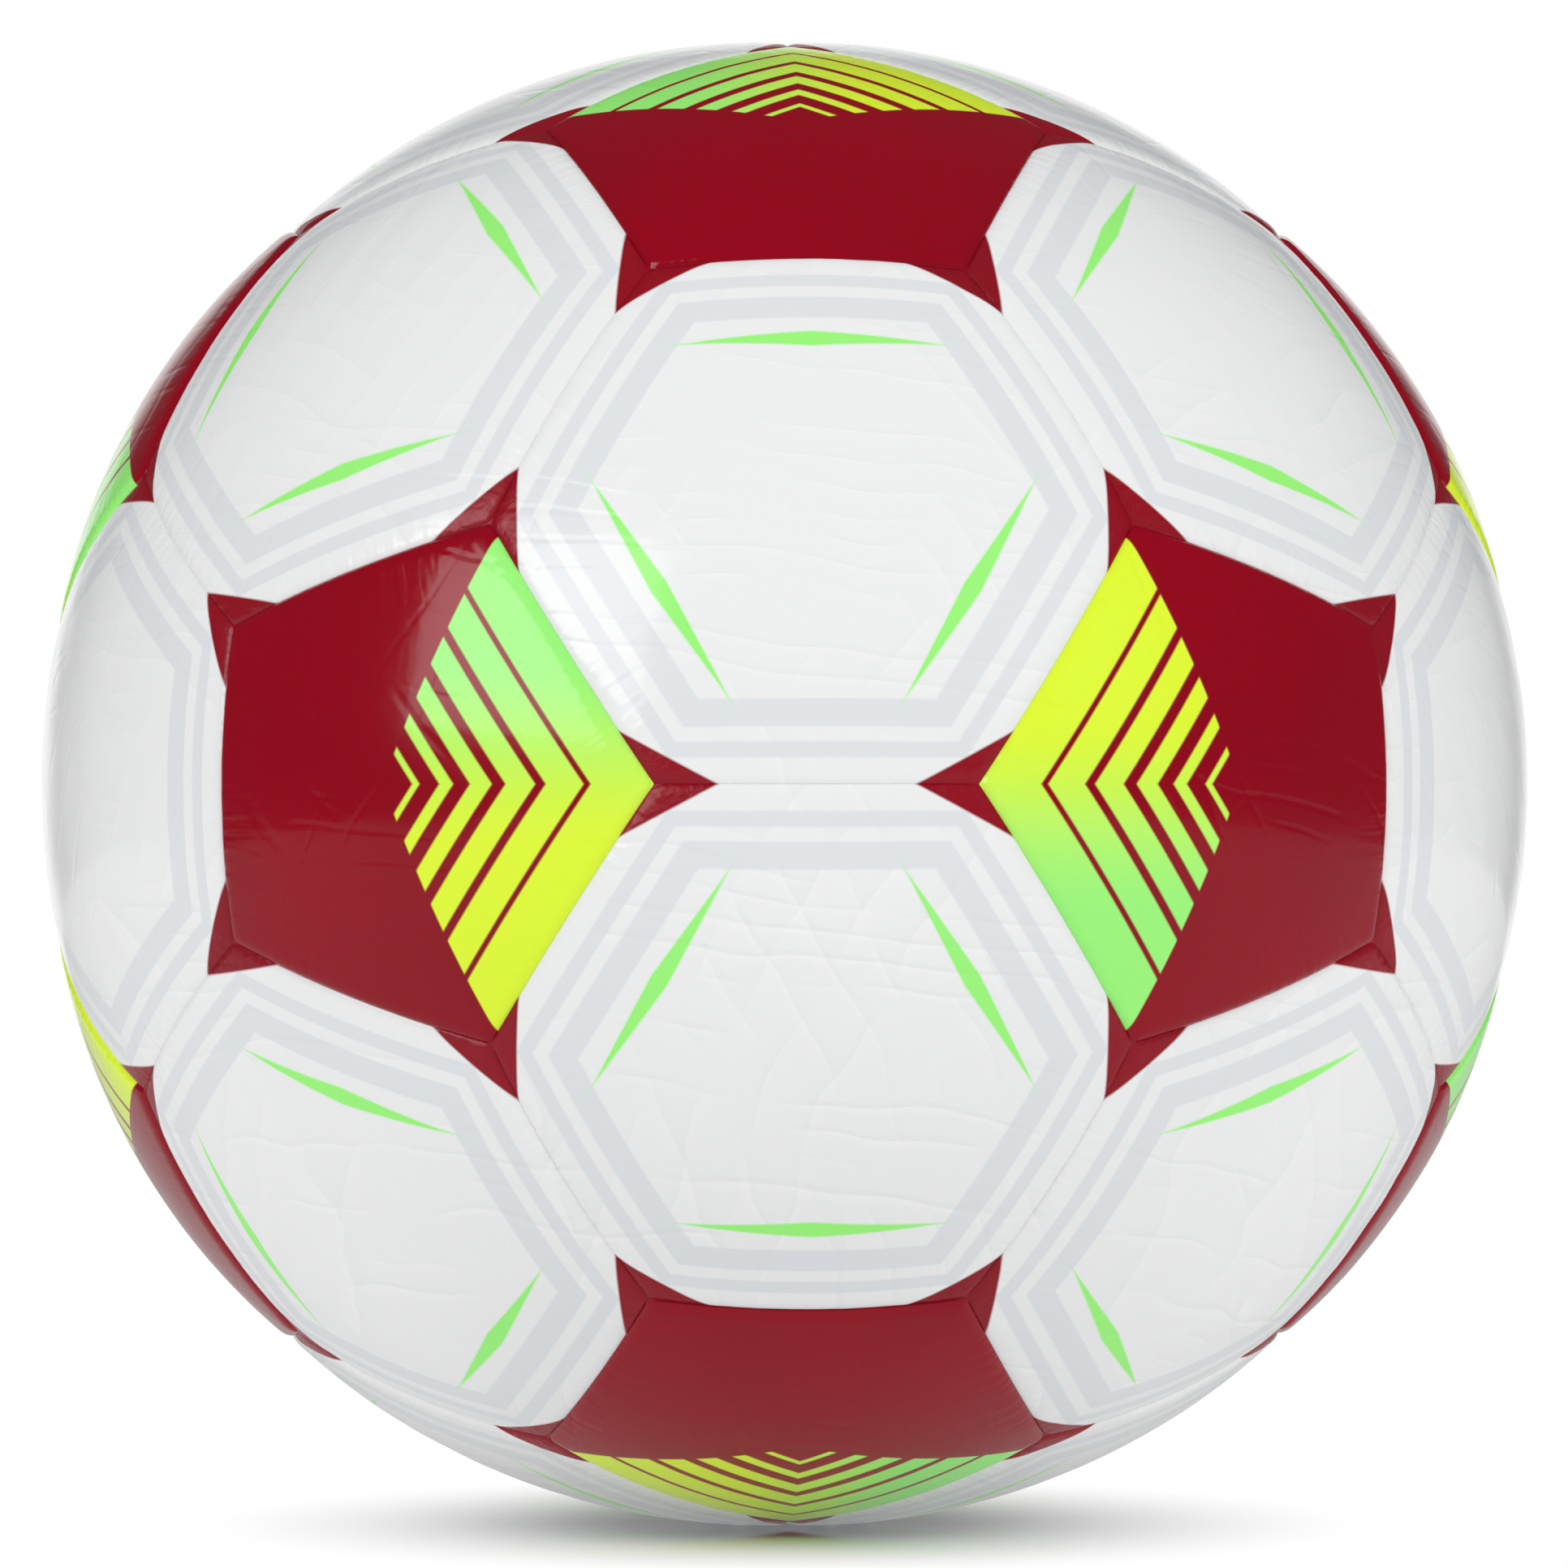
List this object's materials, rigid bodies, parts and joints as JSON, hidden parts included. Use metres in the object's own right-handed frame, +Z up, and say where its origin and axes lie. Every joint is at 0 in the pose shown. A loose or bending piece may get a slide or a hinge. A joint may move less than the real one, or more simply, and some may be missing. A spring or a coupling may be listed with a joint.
{
  "type": "soccer ball",
  "caption": "Sewn soccer ball of deep red pentagon and white hexagon panels over a rubber bladder, with a needle valve whose rubber plug pulls out.",
  "frame": {"origin": "centre of the ball", "axes": "+Z up as the ball stands in the picture, -Y towards the side the picture shows, +X to the right of that side"},
  "size_m": [0.218, 0.218, 0.218],
  "materials": {
    "cover_red": "glossy coated synthetic leather, deep red",
    "cover_white": "glossy coated synthetic leather, white with printed red corners, grey and green stripes",
    "seam_thread": "waxed polyester thread",
    "bladder_rubber": "black butyl rubber",
    "valve_rubber": "black moulded rubber",
    "insert_rubber": "black soft rubber",
    "patch_cloth": "raw lining cloth"
  },
  "bodies": {
    "ball": {"bladder": "bladder_rubber", "hexagon_back_bottom": "cover_white", "hexagon_back_bottom_left": "cover_white", "hexagon_back_bottom_right": "cover_white", "hexagon_back_top": "cover_white", "hexagon_back_top_left": "cover_white", "hexagon_back_top_right": "cover_white", "hexagon_bottom_left": "cover_white", "hexagon_bottom_right": "cover_white", "hexagon_front_bottom": "cover_white", "hexagon_front_bottom_left": "cover_white", "hexagon_front_bottom_right": "cover_white", "hexagon_front_top": "cover_white", "hexagon_front_top_left": "cover_white", "hexagon_front_top_right": "cover_white", "hexagon_left_back": "cover_white", "hexagon_left_front": "cover_white", "hexagon_right_back": "cover_white", "hexagon_right_front": "cover_white", "hexagon_top_left": "cover_white", "hexagon_top_right": "cover_white", "pentagon_back_left": "cover_red", "pentagon_back_right": "cover_red", "pentagon_bottom_back": "cover_red", "pentagon_bottom_front": "cover_red", "pentagon_front_left": "cover_red", "pentagon_front_right": "cover_red", "pentagon_left_bottom": "cover_red", "pentagon_left_top": "cover_red", "pentagon_right_bottom": "cover_red", "pentagon_right_top": "cover_red", "pentagon_top_back": "cover_red", "pentagon_top_front": "cover_red", "seam_thread": "seam_thread", "valve_housing": "valve_rubber", "valve_patch": "patch_cloth"},
    "insert": {"valve_insert": "insert_rubber"}
  },
  "joints": [
    {"name": "insert_pull", "type": "slide", "parent": "ball", "child": "insert", "axis": [0, 0.9342, 0.3568], "range_m": [0, 0.022]}
  ]
}
